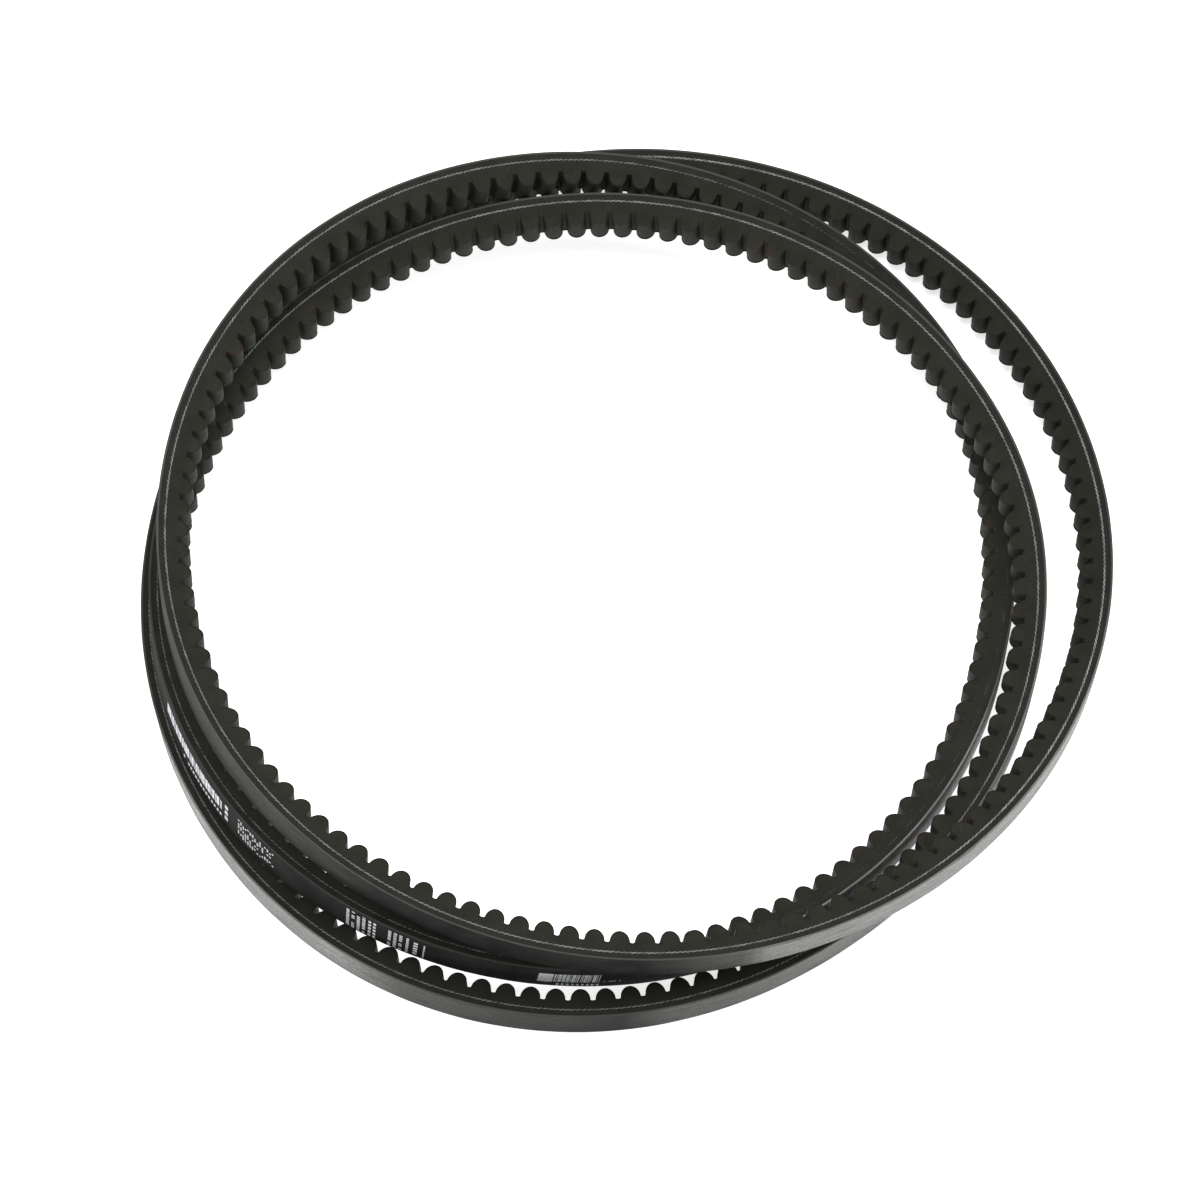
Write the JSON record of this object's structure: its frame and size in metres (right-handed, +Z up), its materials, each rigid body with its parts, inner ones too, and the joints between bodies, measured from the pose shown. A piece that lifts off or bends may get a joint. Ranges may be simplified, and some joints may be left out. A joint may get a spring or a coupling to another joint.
{
  "type": "v belt",
  "caption": "Endless raw-edge moulded-cog V-belt, coiled in overlapping turns that lie on one flank, with a fabric back, a cord line and round-topped cogs inside.",
  "frame": {"origin": "middle of the coil's footprint, on the surface that the coil lies on", "axes": "+Z up out of the coil, -Y towards the side from which the printed back is seen, +X to the right there"},
  "size_m": [0.3291, 0.3322, 0.0516],
  "materials": {
    "back_fabric": "rubberised woven fabric, satin, with light lengthwise wear",
    "belt_rubber": "matte, raw-cut",
    "adhesion_gum": "matte, raw-cut",
    "cord": "twisted polyester cord, matte"
  },
  "bodies": {
    "root": {"back_fabric": "back_fabric", "tension_rubber": "belt_rubber", "upper_adhesion_gum": "adhesion_gum", "tensile_cord": "cord", "lower_adhesion_gum": "adhesion_gum", "cogged_compression_rubber": "belt_rubber"}
  },
  "joints": []
}
